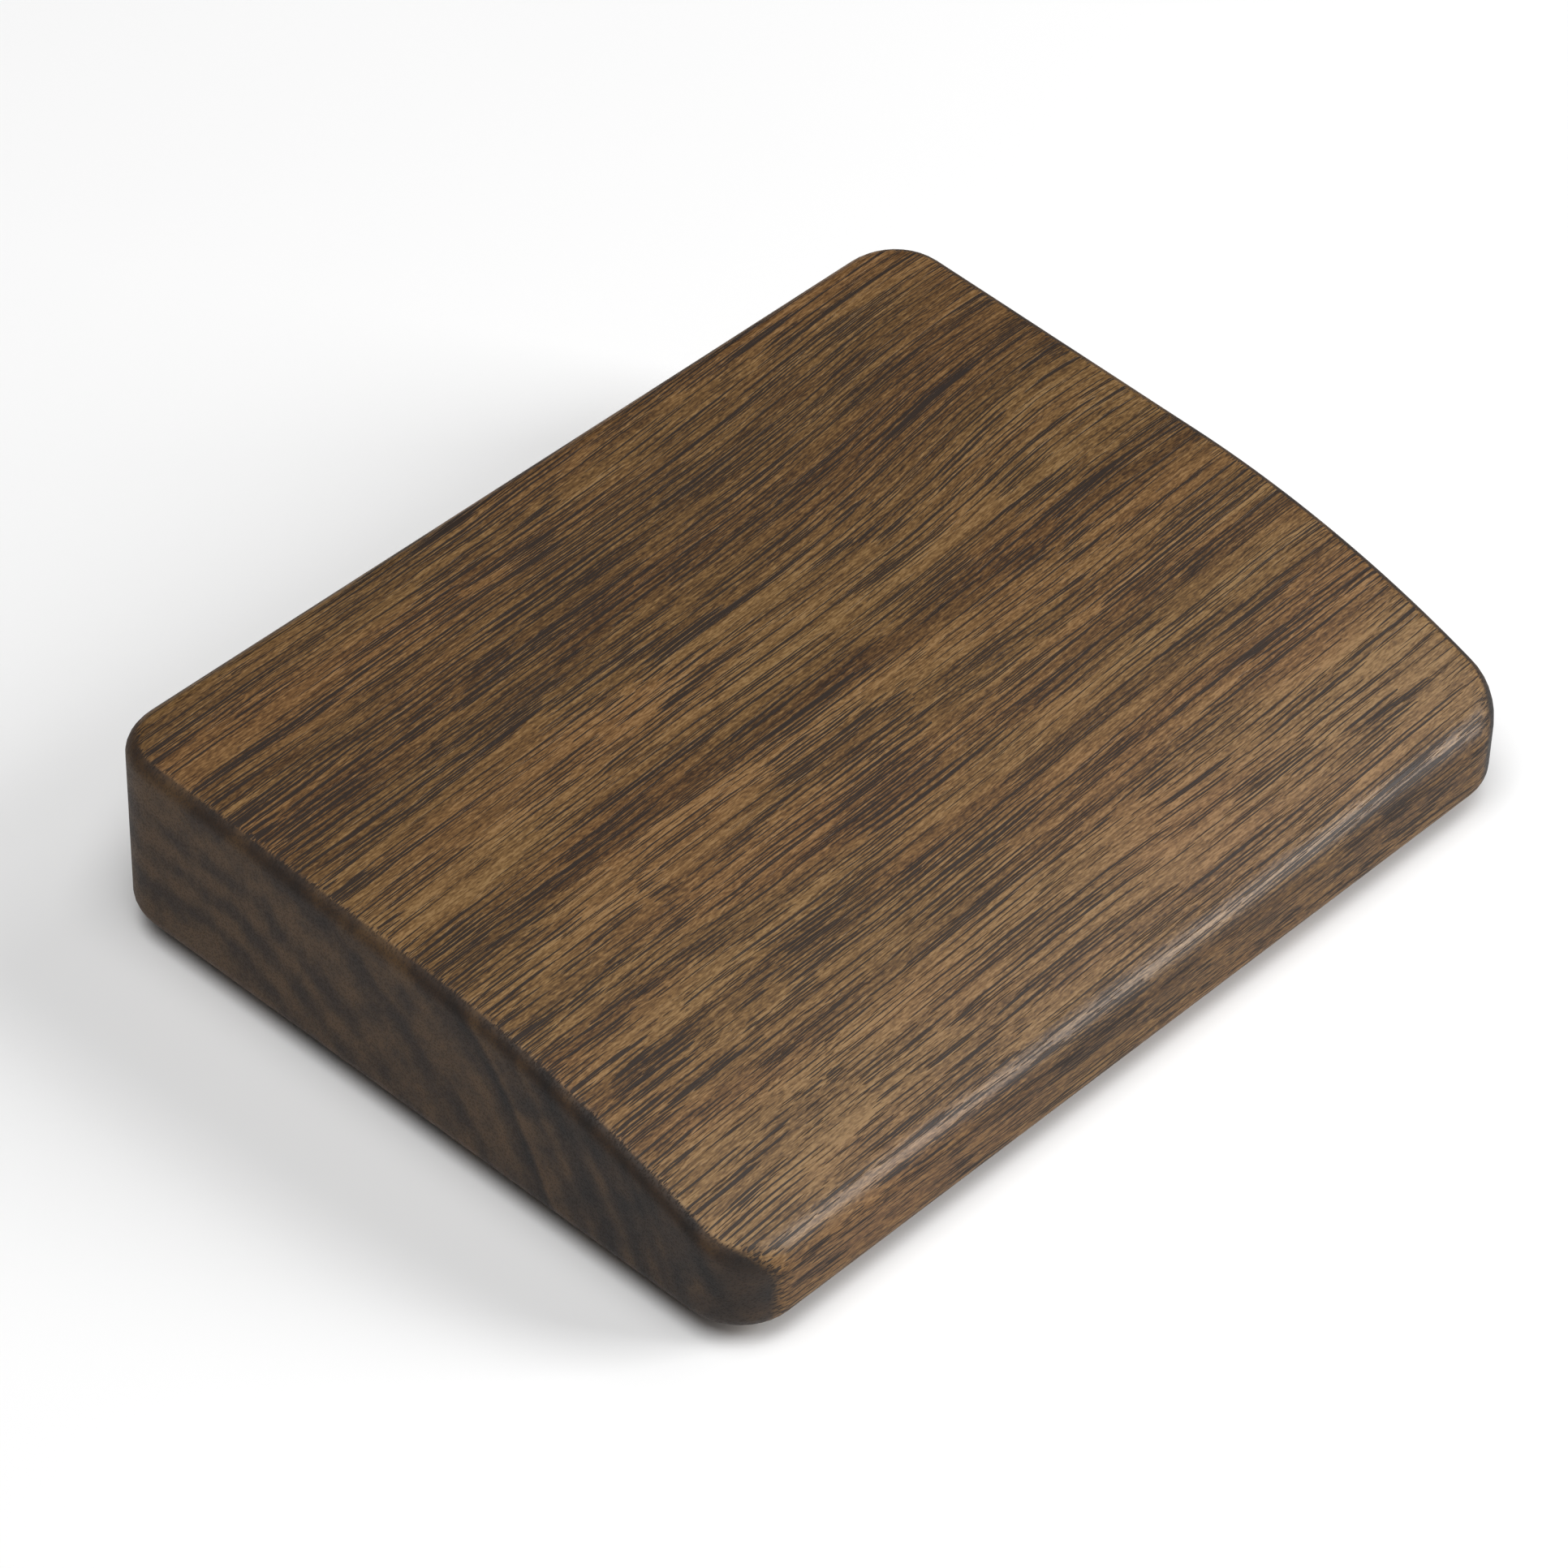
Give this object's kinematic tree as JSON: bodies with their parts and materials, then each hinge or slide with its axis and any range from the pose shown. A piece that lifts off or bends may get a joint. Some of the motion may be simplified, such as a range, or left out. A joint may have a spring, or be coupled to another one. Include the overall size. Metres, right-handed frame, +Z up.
{
  "type": "wrist rest",
  "caption": "Solid walnut wedge that holds the wrist level in front of a mouse or number pad: high flat back, long convex top, rounded nose, silicone feet under it",
  "frame": {"origin": "centre of the bounding box on the desk plane, under the middle of the block and level with the soles of the feet", "axes": "+X along the grain and the width, to the user's right; +Y away from the user, from the low nose to the high back; +Z up"},
  "size_m": [0.1, 0.077, 0.0212],
  "materials": {
    "walnut": "satin oil on fine-sanded black walnut, straight grain along X, open pores, dark end grain",
    "silicone": "matt moulded black silicone",
    "adhesive": "thin double-sided adhesive disc, off-white"
  },
  "bodies": {
    "root": {"wood_block": "walnut", "anti_slip_foot_front_left": "silicone", "anti_slip_foot_front_right": "silicone", "anti_slip_foot_back_left": "silicone", "anti_slip_foot_back_right": "silicone", "foot_adhesive_front_left": "adhesive", "foot_adhesive_front_right": "adhesive", "foot_adhesive_back_left": "adhesive", "foot_adhesive_back_right": "adhesive"}
  },
  "joints": []
}
